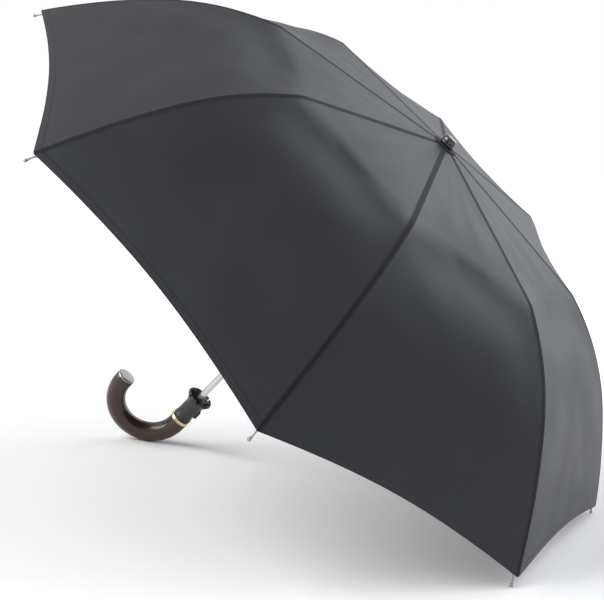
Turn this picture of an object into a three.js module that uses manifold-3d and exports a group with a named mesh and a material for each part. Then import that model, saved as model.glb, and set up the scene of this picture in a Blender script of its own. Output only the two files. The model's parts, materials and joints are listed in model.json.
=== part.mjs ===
// Two-section folding umbrella with a wooden crook, open and lying at rest on two rib tips and the crook's bend.
// Millimetres, +Z up. The umbrella is built upright around its shaft, with the fabric's apex at the local
// origin and the crook hooking roughly to the local -X side, and is then tilted until it lies on the ground.

import * as THREE from 'three';
import { mergeVertices } from 'three/addons/utils/BufferGeometryUtils.js';
import Module from 'manifold-3d';

const wasm = await Module();
wasm.setup();

// ---------------------------------------------------------------------------
// Driving dimensions
// ---------------------------------------------------------------------------

const CLEARANCE = 0.3;              // gap between pieces that touch
const PIN_CLEARANCE = 0.35;         // radial play of a pin in its eye
const WIRE_CLEARANCE = 0.55;        // radial play of the notch wire in a rib's eye
const SLIDE_CLEARANCE = 0.5;        // radial play of the runner on its tube
const CHAMFER = 0.8;                // broken edge of the small turned pieces
const OVERSHOOT = 2;                // how far a cutting tool reaches past what it cuts

// Canopy outline, along one rib
const RIB_COUNT = 8;
const CORNER_RADIUS = 465;          // fabric corner from the shaft axis
const CORNER_DROP = 213;            // fabric corner below the apex
const ELBOW_RADIUS = 238.5;         // fabric over the rib elbow
const ELBOW_DROP = 30;
const ELBOW_LEAD = THREE.MathUtils.degToRad(20.34);   // how much flatter the rib leaves the elbow than a straight line
const OUTER_RIB_TURN = THREE.MathUtils.degToRad(24.9);   // bend of the outer rib, from the elbow to the knee
const TIP_ROD_TURN = THREE.MathUtils.degToRad(8.9);   // bend of the tip rod, from the knee to the corner
const FABRIC_THICKNESS = 1;
const FABRIC_HOLE_RADIUS = 6;
const HEM_SCALLOP = 13;             // how far the hem curves in between two corners
const SEAM_GAP = 0.4;               // between two neighbouring fabric panels

// Ribs: three layers side by side, stretcher | inner rib | outer rib
const HINGE_RADIUS = 10;            // rib hinge at the top notch
const HINGE_DROP = 7.5;
const RIB_CLEARANCE = 1;            // inner fabric face to the top of a rib's eye
const INNER_RIB_WIDTH = 3;
const INNER_RIB_HEIGHT = 4;
const OUTER_RIB_WIDTH = 2.6;
const OUTER_RIB_HEIGHT = 2.8;
const TIP_ROD_WIDTH = 2.6;
const TIP_ROD_HEIGHT = 2.6;
const STRETCHER_WIDTH = 2.4;
const STRETCHER_HEIGHT = 3.2;
const LAYER_GAP = 0.4;
const PIN_RADIUS = 1;
const PIN_HEAD = 0.4;               // how far a pin stands out past the eye
const EYE_RADIUS = 2.6;
const TIP_OVERHANG = 10;            // bare rod past the fabric corner
const TIP_BALL_RADIUS = 2.1;
const STRETCHER_STATION = 120;      // stretcher pin along the inner rib
const RUNNER_DROP = 95.07;          // stretcher pivots on the runner below the apex, canopy open

// Shaft
const COLLAR_DROP = 510;            // gold collar below the apex, shaft extended
const UPPER_TUBE_RADIUS = 3.6;
const UPPER_TUBE_WALL = 0.6;
const LOWER_TUBE_WALL = 0.55;
const TUBE_CLEARANCE = 0.35;        // radial play of the upper tube in the lower one
const TUBE_OVERLAP = 34.5;          // length of the upper tube left in the lower one, shaft extended
const LOWER_TUBE_TOP = 300;         // above the collar
const LOWER_TUBE_SOCKET = 11;       // length of tube inside the wood

// Top notch, its wire and the crown
const NOTCH_RADIUS = 12.5;
const NOTCH_TOP_DROP = 3.4;
const NOTCH_HEIGHT = 8.4;
const WIRE_RADIUS = 0.7;
const WIRE_GROOVE = 1.1;            // half the height and depth of the wire's groove
const ROSETTE_RADIUS = 16;
const ROSETTE_THICKNESS = 0.6;
const CAP_RADIUS = 9.6;
const CAP_HEIGHT = 10;
const CAP_SHOULDER = 3.5;           // upright part of the cap's side
const CAP_TOP_RADIUS = 4;
const CAP_SOCKET = 5.5;             // length of tube inside the cap

// Runner
const RUNNER_SLEEVE_RADIUS = 7;
const RUNNER_COLLAR_RADIUS = 12.5;
const RUNNER_COLLAR_HEIGHT = 9;
const RUNNER_ABOVE = 9;             // sleeve above the stretcher pivots
const RUNNER_BELOW = 14;
const RUNNER_LIP = 1;               // lip round the foot of the sleeve
const RUNNER_LIP_HEIGHT = 2;

// Handle
const CROOK_RADIUS = 12.6;
const CROOK_BEND_RADIUS = 45.5;
const CROOK_STRAIGHT = 6;
const CROOK_RETURN = 7;
const CROOK_SWING = THREE.MathUtils.degToRad(27.7);   // how far the crook is turned on the shaft, from local -X
const END_CAP_THICKNESS = 2.4;
const END_CAP_SHOULDER = 1.45;
const END_CAP_TAPER = 0.6;
const END_CAP_CROWN = 2.4;          // from the rim in to the flat face
const COLLAR_RADIUS = 13.5;
const COLLAR_HEIGHT = 5.4;
const HOUSING_RADIUS = 12.6;
const HOUSING_WAIST_RADIUS = 11.6;
const HOUSING_TAPER_HEIGHT = 6;
const HOUSING_HEIGHT = 40;
const CUP_RADIUS = 18;
const CUP_DEPTH = 12;
const CUP_WALL = 2.6;
const CUP_RIM_HEIGHT = 2;
const CUP_FLARE_HEIGHT = 5;         // the cup narrows below this
const CUP_FLARE = 1.6;
const CUP_NOTCH_RADIUS = 2.2;       // rounded gaps between the lobes of the rim
const CUP_NOTCH_DEPTH = 4.5;
const BUTTON_WIDTH = 8.4;
const BUTTON_HEIGHT = 12.4;
const BUTTON_STAND = 3;             // how far the button stands out of the housing
const BUTTON_TRAVEL = 2.5;
const BUTTON_DEPTH = 5;
const BUTTON_LEVEL = 17;            // centre of the button above the collar's top
const BUTTON_ROUND_OUT = 1.4;
const BUTTON_ROUND_UP = 2.6;

// ---------------------------------------------------------------------------
// Derived places
// ---------------------------------------------------------------------------

const HALF_GORE = Math.PI / RIB_COUNT;
const innerSlope = Math.atan2(ELBOW_DROP, ELBOW_RADIUS);
const ribNormal = (slope) => new THREE.Vector2(Math.sin(slope), Math.cos(slope));
const corner = new THREE.Vector2(CORNER_RADIUS, -CORNER_DROP);
const fabricElbow = new THREE.Vector2(ELBOW_RADIUS, -ELBOW_DROP);

// The outer half is two arcs that share their tangent at the knee: their bend radii, measured at the fabric's
// outer face, are those that lead from the elbow to the corner.
const outerChord = corner.clone().sub(fabricElbow);
const elbowSlope = Math.atan2(-outerChord.y, outerChord.x) - ELBOW_LEAD;
const kneeSlope = elbowSlope + OUTER_RIB_TURN;
const cornerSlope = kneeSlope + TIP_ROD_TURN;
const ribTurn = ribNormal(kneeSlope).sub(ribNormal(elbowSlope));
const tipTurn = ribNormal(cornerSlope).sub(ribNormal(kneeSlope));
const ribBendRadius = outerChord.cross(tipTurn) / ribTurn.cross(tipTurn);
const tipBendRadius = outerChord.cross(ribTurn) / tipTurn.cross(ribTurn);
const ribBendCentre = fabricElbow.clone().addScaledVector(ribNormal(elbowSlope), -ribBendRadius);
const tipBendCentre = corner.clone().addScaledVector(ribNormal(cornerSlope), -tipBendRadius);

// A point over the outer half of the rib, `depth` below the fabric's outer face; x is radial, y is axial.
const outerPoint = (slope, depth) => (slope <= kneeSlope
  ? ribBendCentre.clone().addScaledVector(ribNormal(slope), ribBendRadius - depth)
  : tipBendCentre.clone().addScaledVector(ribNormal(slope), tipBendRadius - depth));

const ribDepth = FABRIC_THICKNESS + RIB_CLEARANCE + EYE_RADIUS;   // outer fabric face to the rib's centre line
const hinge = new THREE.Vector2(HINGE_RADIUS, -HINGE_DROP);
const elbow = outerPoint(elbowSlope, ribDepth);
const knee = outerPoint(kneeSlope, ribDepth);
const tipSlope = cornerSlope + TIP_OVERHANG / (tipBendRadius - ribDepth);
const innerRibDirection = elbow.clone().sub(hinge).normalize();
const stretcherPin = hinge.clone().addScaledVector(innerRibDirection, STRETCHER_STATION);
const runnerPivot = new THREE.Vector2(HINGE_RADIUS, -RUNNER_DROP);

const outerLayer = (INNER_RIB_WIDTH + OUTER_RIB_WIDTH) / 2 + LAYER_GAP;
const stretcherLayer = -(INNER_RIB_WIDTH + STRETCHER_WIDTH) / 2 - LAYER_GAP;

const collarTop = -COLLAR_DROP + COLLAR_HEIGHT / 2;
const collarBottom = -COLLAR_DROP - COLLAR_HEIGHT / 2;
const housingBottom = collarTop + CLEARANCE;
const crookTop = collarBottom - CLEARANCE;
const bendStart = crookTop - CROOK_STRAIGHT;
const lowerTubeRadius = UPPER_TUBE_RADIUS + TUBE_CLEARANCE + LOWER_TUBE_WALL;
const lowerTubeTop = -COLLAR_DROP + LOWER_TUBE_TOP;
const tubeBore = lowerTubeRadius + CLEARANCE;

// ---------------------------------------------------------------------------
// Materials
// ---------------------------------------------------------------------------

const material = (color, roughness, metalness) => new THREE.MeshStandardMaterial({ color, roughness, metalness });
const FABRIC = material(0x15171c, 0.55, 0);
const STEEL = material(0xb9bcc0, 0.28, 0.95);
const DARK_STEEL = material(0x55585c, 0.35, 0.9);
const WOOD = material(0x3b2015, 0.25, 0);
const BRASS = material(0xc7a03f, 0.22, 1);
const BLACK_PLASTIC = material(0x101012, 0.35, 0);
const GREY_METAL = material(0x9a9a98, 0.3, 0.8);

// ---------------------------------------------------------------------------
// Solid helpers
// ---------------------------------------------------------------------------

function toSolid(geometry) {
  const bare = geometry.clone();
  bare.deleteAttribute('normal');
  bare.deleteAttribute('uv');
  const merged = mergeVertices(bare, 1e-4);
  return new wasm.Manifold(new wasm.Mesh({
    numProp: 3,
    vertProperties: new Float32Array(merged.attributes.position.array),
    triVerts: new Uint32Array(merged.index.array),
  }));
}

function fromSolid(solid) {
  const mesh = solid.getMesh();
  const geometry = new THREE.BufferGeometry();
  geometry.setAttribute('position', new THREE.BufferAttribute(new Float32Array(mesh.vertProperties), 3));
  geometry.setIndex(new THREE.BufferAttribute(new Uint32Array(mesh.triVerts), 1));
  geometry.computeVertexNormals();
  return geometry;
}

function joined(first, ...others) {
  return others.reduce((solid, next) => solid.add(toSolid(next)), toSolid(first));
}

function cut(solid, ...tools) {
  return tools.reduce((rest, tool) => rest.subtract(toSolid(tool)), solid);
}

// A solid of revolution around local Z, from [radius, z] pairs.
function turned(profile, segments = 24) {
  const geometry = new THREE.LatheGeometry(profile.map(([r, z]) => new THREE.Vector2(r, z)), segments);
  return geometry.rotateX(Math.PI / 2);
}

function ring(innerRadius, outerRadius, bottom, top, segments = 24) {
  return turned([
    [innerRadius, bottom], [outerRadius, bottom], [outerRadius, top], [innerRadius, top], [innerRadius, bottom],
  ], segments);
}

// An outline in the rib plane (x radial, y axial), spread sideways around the tangential offset `layer`.
function slab(shape, layer, width) {
  const geometry = new THREE.ExtrudeGeometry(shape, { depth: width, bevelEnabled: false, curveSegments: 5 });
  return geometry.rotateX(Math.PI / 2).translate(0, layer + width / 2, 0);
}

function disc(centre, radius, layer, width) {
  const shape = new THREE.Shape();
  shape.absarc(centre.x, centre.y, radius, 0, 2 * Math.PI, false);
  return slab(shape, layer, width);
}

// A rivet through neighbouring layers, from one tangential offset to the other.
function pin(centre, from, to) {
  return disc(centre, PIN_RADIUS, (from + to) / 2, to - from);
}

// A bar of constant height along a list of points in the rib plane.
function bar(points, height, layer, width) {
  const left = [];
  const right = [];
  points.forEach((point, i) => {
    const along = points[Math.min(i + 1, points.length - 1)].clone().sub(points[Math.max(i - 1, 0)]).normalize();
    const across = new THREE.Vector2(-along.y, along.x).multiplyScalar(height / 2);
    left.push(point.clone().add(across));
    right.push(point.clone().sub(across));
  });
  return slab(new THREE.Shape([...left, ...right.reverse()]), layer, width);
}

function outerArc(fromSlope, toSlope, steps) {
  return Array.from({ length: steps + 1 }, (_, i) => (
    outerPoint(THREE.MathUtils.lerp(fromSlope, toSlope, i / steps), ribDepth)));
}

// ---------------------------------------------------------------------------
// Canopy
// ---------------------------------------------------------------------------

const INNER_ROWS = 4;
const OUTER_ROWS = 4;               // in each of the two arcs of the outer half
const COLUMNS = 6;                  // across one panel, from gore middle to gore middle

// Point on the fabric. `across` runs from -1 to 1 between two gore middles, with the rib at 0.
function fabricPoint(row, across, depth) {
  const toRib = 1 - Math.abs(across);
  let slope = innerSlope;
  let rib;
  if (row <= INNER_ROWS) {
    const radius = THREE.MathUtils.lerp(FABRIC_HOLE_RADIUS, ELBOW_RADIUS, row / INNER_ROWS);
    rib = new THREE.Vector2(radius, -radius * Math.tan(innerSlope));
    if (row === INNER_ROWS) {
      slope = (innerSlope + elbowSlope) / 2;
    }
  } else {
    const hemSlope = cornerSlope - (HEM_SCALLOP / tipBendRadius) * (1 - toRib ** 2);
    const share = (row - INNER_ROWS) / OUTER_ROWS;
    slope = share <= 1
      ? THREE.MathUtils.lerp(elbowSlope, kneeSlope, share)
      : THREE.MathUtils.lerp(kneeSlope, hemSlope, share - 1);
    rib = outerPoint(slope, 0);
  }
  // Straight across from rib to rib, so the fabric comes nearer to the shaft between them.
  const chordRadius = rib.x * Math.cos(HALF_GORE);
  const edge = HALF_GORE - Math.asin(SEAM_GAP / 2 / chordRadius);
  const azimuth = across * edge;
  const radius = chordRadius / Math.cos(HALF_GORE - Math.abs(azimuth)) - depth * Math.sin(slope);
  const z = rib.y - depth * Math.cos(slope);
  return new THREE.Vector3(radius * Math.cos(azimuth), radius * Math.sin(azimuth), z);
}

function fabricPanel() {
  const rows = INNER_ROWS + 2 * OUTER_ROWS;
  const across = COLUMNS + 1;
  const positions = [];
  for (const depth of [0, FABRIC_THICKNESS]) {
    for (let row = 0; row <= rows; row += 1) {
      for (let column = 0; column <= COLUMNS; column += 1) {
        positions.push(...fabricPoint(row, (2 * column) / COLUMNS - 1, depth));
      }
    }
  }
  const layerSize = (rows + 1) * across;
  const index = [];
  const quad = (a, b, c, d) => index.push(a, b, c, a, c, d);
  for (let row = 0; row < rows; row += 1) {
    for (let column = 0; column < COLUMNS; column += 1) {
      const a = row * across + column;
      const b = a + across;
      quad(a, b, b + 1, a + 1);
      quad(a + layerSize, a + 1 + layerSize, b + 1 + layerSize, b + layerSize);
    }
    const first = row * across;
    const last = first + COLUMNS;
    quad(first, first + layerSize, first + across + layerSize, first + across);
    quad(last, last + across, last + across + layerSize, last + layerSize);
  }
  for (let column = 0; column < COLUMNS; column += 1) {
    const hem = rows * across + column;
    quad(column, column + 1, column + 1 + layerSize, column + layerSize);
    quad(hem, hem + layerSize, hem + 1 + layerSize, hem + 1);
  }
  const geometry = new THREE.BufferGeometry();
  geometry.setAttribute('position', new THREE.Float32BufferAttribute(positions, 3));
  geometry.setIndex(index);
  geometry.computeVertexNormals();
  return geometry;
}

// ---------------------------------------------------------------------------
// Ribs
// ---------------------------------------------------------------------------

function innerRib() {
  const solid = joined(
    bar([hinge, elbow], INNER_RIB_HEIGHT, 0, INNER_RIB_WIDTH),
    disc(hinge, EYE_RADIUS, 0, INNER_RIB_WIDTH),
    disc(elbow, EYE_RADIUS, 0, INNER_RIB_WIDTH),
    pin(elbow, 0, outerLayer + OUTER_RIB_WIDTH / 2 + PIN_HEAD),
    pin(stretcherPin, stretcherLayer - STRETCHER_WIDTH / 2 - PIN_HEAD, 0),
  );
  return fromSolid(cut(solid, disc(hinge, WIRE_RADIUS + WIRE_CLEARANCE, 0, 2 * INNER_RIB_WIDTH)));
}

function outerRib() {
  const solid = joined(
    bar(outerArc(elbowSlope, kneeSlope, 6), OUTER_RIB_HEIGHT, outerLayer, OUTER_RIB_WIDTH),
    disc(elbow, EYE_RADIUS, outerLayer, OUTER_RIB_WIDTH),
    disc(knee, EYE_RADIUS - PIN_CLEARANCE, outerLayer, OUTER_RIB_WIDTH),
    pin(knee, -TIP_ROD_WIDTH / 2 - PIN_HEAD, outerLayer),
  );
  return fromSolid(cut(solid, disc(elbow, PIN_RADIUS + PIN_CLEARANCE, outerLayer, 2 * OUTER_RIB_WIDTH)));
}

function tipRod() {
  const path = outerArc(kneeSlope, tipSlope, 6);
  const end = path[path.length - 1];
  const ball = new THREE.SphereGeometry(TIP_BALL_RADIUS, 10, 6).rotateX(Math.PI / 2).translate(end.x, 0, end.y);
  const solid = joined(
    bar(path, TIP_ROD_HEIGHT, 0, TIP_ROD_WIDTH),
    disc(knee, EYE_RADIUS - PIN_CLEARANCE, 0, TIP_ROD_WIDTH),
    ball,
  );
  return fromSolid(cut(solid, disc(knee, PIN_RADIUS + PIN_CLEARANCE, 0, 2 * TIP_ROD_WIDTH)));
}

function stretcher() {
  const solid = joined(
    bar([stretcherPin, runnerPivot], STRETCHER_HEIGHT, stretcherLayer, STRETCHER_WIDTH),
    disc(stretcherPin, EYE_RADIUS, stretcherLayer, STRETCHER_WIDTH),
    disc(runnerPivot, EYE_RADIUS - PIN_CLEARANCE, stretcherLayer, STRETCHER_WIDTH),
  );
  return fromSolid(cut(
    solid,
    disc(stretcherPin, PIN_RADIUS + PIN_CLEARANCE, stretcherLayer, 2 * STRETCHER_WIDTH),
    disc(runnerPivot, PIN_RADIUS, stretcherLayer, 2 * STRETCHER_WIDTH),
  ));
}

// ---------------------------------------------------------------------------
// Crown, notch, runner and tubes
// ---------------------------------------------------------------------------

// One radial slot for each rib, from a floor radius out through the rim and through both faces.
function ribSlots(layer, width, floorRadius, rimRadius, bottom, top) {
  const reach = rimRadius + OVERSHOOT;
  return Array.from({ length: RIB_COUNT }, (_, i) => {
    const slot = new THREE.BoxGeometry(reach - floorRadius, width + 2 * LAYER_GAP, top - bottom + OVERSHOOT);
    slot.translate((reach + floorRadius) / 2, layer, (top + bottom) / 2);
    return slot.rotateZ(ribAzimuth(i));
  });
}

function topNotch() {
  const top = -NOTCH_TOP_DROP;
  const bottom = top - NOTCH_HEIGHT;
  const bore = UPPER_TUBE_RADIUS + CLEARANCE;
  const body = toSolid(turned([
    [bore, bottom], [NOTCH_RADIUS, bottom], [NOTCH_RADIUS, -HINGE_DROP - WIRE_GROOVE],
    [HINGE_RADIUS - WIRE_GROOVE, -HINGE_DROP - WIRE_GROOVE], [HINGE_RADIUS - WIRE_GROOVE, -HINGE_DROP + WIRE_GROOVE],
    [NOTCH_RADIUS, -HINGE_DROP + WIRE_GROOVE], [NOTCH_RADIUS, top], [bore, top], [bore, bottom],
  ], 24));
  const slots = ribSlots(0, INNER_RIB_WIDTH, HINGE_RADIUS - EYE_RADIUS - LAYER_GAP, NOTCH_RADIUS, bottom, top);
  return fromSolid(cut(body, ...slots));
}

function notchWire() {
  const section = Array.from({ length: 6 }, (_, i) => {
    const angle = (i % 5) * (2 * Math.PI / 5);
    return [HINGE_RADIUS + WIRE_RADIUS * Math.cos(angle), -HINGE_DROP + WIRE_RADIUS * Math.sin(angle)];
  });
  return turned(section, 24);
}

function rosette() {
  const fall = Math.tan(innerSlope);
  const inner = UPPER_TUBE_RADIUS + CLEARANCE;
  const lift = CLEARANCE;
  const face = (radius, height) => [radius, -radius * fall + height];
  return turned([
    face(inner, lift), face(ROSETTE_RADIUS, lift), face(ROSETTE_RADIUS, lift + ROSETTE_THICKNESS),
    face(inner, lift + ROSETTE_THICKNESS), face(inner, lift),
  ], 24);
}

function crownCap() {
  const bottom = ROSETTE_THICKNESS + 2 * CLEARANCE;
  const socket = UPPER_TUBE_RADIUS + CLEARANCE;
  const shoulder = bottom + CAP_SHOULDER;
  const crown = Array.from({ length: 6 }, (_, i) => {
    const angle = (i / 5) * (Math.PI / 2);
    return [
      CAP_TOP_RADIUS + (CAP_RADIUS - CAP_TOP_RADIUS) * Math.cos(angle),
      shoulder + (bottom + CAP_HEIGHT - shoulder) * Math.sin(angle),
    ];
  });
  return turned([
    [0, CAP_SOCKET + CLEARANCE], [socket, CAP_SOCKET + CLEARANCE], [socket, bottom], [CAP_RADIUS - CHAMFER, bottom],
    [CAP_RADIUS, bottom + CHAMFER], ...crown, [0, bottom + CAP_HEIGHT],
  ], 24);
}

function upperTube() {
  return ring(UPPER_TUBE_RADIUS - UPPER_TUBE_WALL, UPPER_TUBE_RADIUS, lowerTubeTop - TUBE_OVERLAP, CAP_SOCKET, 20);
}

function lowerTube() {
  const bottom = crookTop - LOWER_TUBE_SOCKET;
  return ring(lowerTubeRadius - LOWER_TUBE_WALL, lowerTubeRadius, bottom, lowerTubeTop, 20);
}

function runner() {
  const bore = lowerTubeRadius + SLIDE_CLEARANCE;
  const lip = RUNNER_SLEEVE_RADIUS + RUNNER_LIP;
  const collarLow = -RUNNER_DROP - RUNNER_COLLAR_HEIGHT / 2;
  const collarHigh = -RUNNER_DROP + RUNNER_COLLAR_HEIGHT / 2;
  const top = -RUNNER_DROP + RUNNER_ABOVE;
  const bottom = -RUNNER_DROP - RUNNER_BELOW;
  const body = toSolid(turned([
    [bore, bottom], [lip, bottom], [lip, bottom + RUNNER_LIP_HEIGHT],
    [RUNNER_SLEEVE_RADIUS, bottom + RUNNER_LIP_HEIGHT + RUNNER_LIP], [RUNNER_SLEEVE_RADIUS, collarLow],
    [RUNNER_COLLAR_RADIUS, collarLow + CHAMFER], [RUNNER_COLLAR_RADIUS, collarHigh - CHAMFER],
    [RUNNER_SLEEVE_RADIUS, collarHigh], [RUNNER_SLEEVE_RADIUS, top], [bore, top], [bore, bottom],
  ], 24));
  const slots = ribSlots(
    stretcherLayer, STRETCHER_WIDTH, RUNNER_SLEEVE_RADIUS, RUNNER_COLLAR_RADIUS, collarLow, collarHigh);
  return fromSolid(cut(body, ...slots));
}

// ---------------------------------------------------------------------------
// Handle
// ---------------------------------------------------------------------------

// Straight down the shaft axis, half a turn towards local -X, and a short way back up.
class CrookCurve extends THREE.Curve {
  getPoint(t) {
    const bendLength = Math.PI * CROOK_BEND_RADIUS;
    const travelled = t * (CROOK_STRAIGHT + bendLength + CROOK_RETURN);
    if (travelled <= CROOK_STRAIGHT) {
      return new THREE.Vector3(0, 0, crookTop - travelled);
    }
    if (travelled <= CROOK_STRAIGHT + bendLength) {
      const angle = (travelled - CROOK_STRAIGHT) / CROOK_BEND_RADIUS;
      const x = -CROOK_BEND_RADIUS * (1 - Math.cos(angle));
      return new THREE.Vector3(x, 0, bendStart - CROOK_BEND_RADIUS * Math.sin(angle));
    }
    const rise = travelled - CROOK_STRAIGHT - bendLength;
    return new THREE.Vector3(-2 * CROOK_BEND_RADIUS, 0, bendStart + rise);
  }
}

function crookHandle() {
  const section = new THREE.Shape();
  section.absarc(0, 0, CROOK_RADIUS, 0, 2 * Math.PI, false);
  const geometry = new THREE.ExtrudeGeometry(section, {
    steps: 26, curveSegments: 8, bevelEnabled: false, extrudePath: new CrookCurve(),
  });
  const floor = crookTop - LOWER_TUBE_SOCKET - CLEARANCE;
  const rim = crookTop + OVERSHOOT;
  const bore = turned([[0, floor], [tubeBore, floor], [tubeBore, rim], [0, rim]], 20);
  return fromSolid(cut(toSolid(geometry), bore)).rotateZ(CROOK_SWING);
}

function crookEndCap() {
  const bottom = bendStart + CROOK_RETURN + CLEARANCE;
  const cap = turned([
    [0, bottom], [CROOK_RADIUS, bottom], [CROOK_RADIUS - END_CAP_TAPER, bottom + END_CAP_SHOULDER],
    [CROOK_RADIUS - END_CAP_CROWN, bottom + END_CAP_THICKNESS], [0, bottom + END_CAP_THICKNESS],
  ], 24);
  return cap.translate(-2 * CROOK_BEND_RADIUS, 0, 0).rotateZ(CROOK_SWING);
}

function handleCollar() {
  return turned([
    [tubeBore, collarBottom], [COLLAR_RADIUS - CHAMFER, collarBottom], [COLLAR_RADIUS, collarBottom + CHAMFER],
    [COLLAR_RADIUS, collarTop - CHAMFER], [COLLAR_RADIUS - CHAMFER, collarTop], [tubeBore, collarTop],
    [tubeBore, collarBottom],
  ], 24);
}

const buttonPocketFloor = HOUSING_WAIST_RADIUS + BUTTON_STAND - BUTTON_DEPTH - BUTTON_TRAVEL - 2 * CLEARANCE;

function buttonHousing() {
  const top = housingBottom + HOUSING_HEIGHT;
  const cupFloor = top - CUP_DEPTH;
  const body = toSolid(turned([
    [tubeBore, housingBottom], [HOUSING_RADIUS, housingBottom],
    [HOUSING_WAIST_RADIUS, housingBottom + HOUSING_TAPER_HEIGHT], [HOUSING_WAIST_RADIUS, cupFloor - CUP_RIM_HEIGHT],
    [CUP_RADIUS - CUP_FLARE, top - CUP_FLARE_HEIGHT], [CUP_RADIUS, top - CUP_RIM_HEIGHT], [CUP_RADIUS, top],
    [CUP_RADIUS - CUP_WALL, top], [CUP_RADIUS - CUP_WALL - CUP_FLARE, top - CUP_FLARE_HEIGHT],
    [RUNNER_SLEEVE_RADIUS + OVERSHOOT, cupFloor], [tubeBore, cupFloor], [tubeBore, housingBottom],
  ], 32));
  const level = housingBottom + BUTTON_LEVEL;
  const reach = CUP_RADIUS + OVERSHOOT;
  const pocket = new THREE.BoxGeometry(
    reach - buttonPocketFloor, BUTTON_WIDTH + 2 * CLEARANCE, BUTTON_HEIGHT + 2 * CLEARANCE);
  pocket.translate((reach + buttonPocketFloor) / 2, 0, level).rotateZ(CROOK_SWING);
  const notches = Array.from({ length: RIB_COUNT }, (_, i) => {
    const notch = new THREE.CylinderGeometry(CUP_NOTCH_RADIUS, CUP_NOTCH_RADIUS, CUP_RADIUS, 10);
    notch.scale(1, 1, CUP_NOTCH_DEPTH / CUP_NOTCH_RADIUS).rotateZ(Math.PI / 2);
    return notch.translate(CUP_RADIUS, 0, top).rotateZ(ribAzimuth(i));
  });
  return fromSolid(cut(body, pocket, ...notches));
}

function pushButton() {
  const outer = HOUSING_WAIST_RADIUS + BUTTON_STAND;
  const shape = new THREE.Shape();
  const half = BUTTON_HEIGHT / 2;
  shape.moveTo(outer - BUTTON_DEPTH, -half);
  shape.lineTo(outer - BUTTON_ROUND_OUT, -half);
  shape.quadraticCurveTo(outer, -half, outer, -half + BUTTON_ROUND_UP);
  shape.lineTo(outer, half - BUTTON_ROUND_UP);
  shape.quadraticCurveTo(outer, half, outer - BUTTON_ROUND_OUT, half);
  shape.lineTo(outer - BUTTON_DEPTH, half);
  return slab(shape, 0, BUTTON_WIDTH).translate(0, 0, housingBottom + BUTTON_LEVEL).rotateZ(CROOK_SWING);
}

// ---------------------------------------------------------------------------
// Assembly
// ---------------------------------------------------------------------------

// Ribs 4 and 5 stand either side of local +X, on the far side from the crook; those two tips meet the ground.
function ribAzimuth(i) {
  return (2 * i + 1 - RIB_COUNT) * HALF_GORE;
}

function part(name, geometry, look) {
  const mesh = new THREE.Mesh(geometry, look);
  mesh.name = name;
  return mesh;
}

const umbrella = new THREE.Group();
umbrella.add(
  part('crook_handle', crookHandle(), WOOD),
  part('crook_end_cap', crookEndCap(), GREY_METAL),
  part('handle_collar', handleCollar(), BRASS),
  part('button_housing', buttonHousing(), BLACK_PLASTIC),
  part('push_button', pushButton(), BLACK_PLASTIC),
  part('lower_tube', lowerTube(), STEEL),
  part('upper_tube', upperTube(), STEEL),
  part('top_notch', topNotch(), BLACK_PLASTIC),
  part('notch_wire', notchWire(), STEEL),
  part('crown_rosette', rosette(), FABRIC),
  part('crown_cap', crownCap(), BLACK_PLASTIC),
  part('runner', runner(), BLACK_PLASTIC),
);

for (let i = 0; i < RIB_COUNT; i += 1) {
  const spoke = new THREE.Group();
  spoke.rotation.z = ribAzimuth(i);
  spoke.add(
    part(`inner_rib_${i + 1}`, innerRib(), DARK_STEEL),
    part(`stretcher_${i + 1}`, stretcher(), DARK_STEEL),
    part(`outer_rib_${i + 1}`, outerRib(), DARK_STEEL),
    part(`tip_rod_${i + 1}`, tipRod(), STEEL),
    part(`canopy_panel_${i + 1}`, fabricPanel(), FABRIC),
  );
  umbrella.add(spoke);
}

// For a tilt about Y, how much higher the two lowest tip balls lie than the lowest point of the crook's bend.
const tipEnd = outerPoint(tipSlope, ribDepth);
function tipLift(tilt) {
  const upX = -Math.sin(tilt);
  const upZ = Math.cos(tilt);
  const alongCrook = -upX * Math.cos(CROOK_SWING);
  const tips = upX * tipEnd.x * Math.cos(HALF_GORE) + upZ * tipEnd.y - TIP_BALL_RADIUS;
  const bend = CROOK_BEND_RADIUS * (alongCrook - Math.hypot(alongCrook, upZ)) + upZ * bendStart - CROOK_RADIUS;
  return tips - bend;
}

// The tilt at which both touch one plane, by halving.
let tiltRange = [0, Math.PI / 2];
for (let i = 0; i < 40; i += 1) {
  const middle = (tiltRange[0] + tiltRange[1]) / 2;
  tiltRange = tipLift(middle) > 0 ? [middle, tiltRange[1]] : [tiltRange[0], middle];
}
umbrella.rotation.y = tiltRange[0];

// The origin is on the ground, under the middle of the outline.
const root = new THREE.Group();
root.add(umbrella);
root.updateMatrixWorld(true);
const outline = new THREE.Box3().setFromObject(root, true);
umbrella.position.set(-(outline.min.x + outline.max.x) / 2, -(outline.min.y + outline.max.y) / 2, -outline.min.z);
root.updateMatrixWorld(true);

export default root;
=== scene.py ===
"""Folding crook umbrella: the visible pieces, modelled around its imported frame."""
import json
import math

import bpy
import numpy as np
from mathutils import Matrix, Vector


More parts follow.
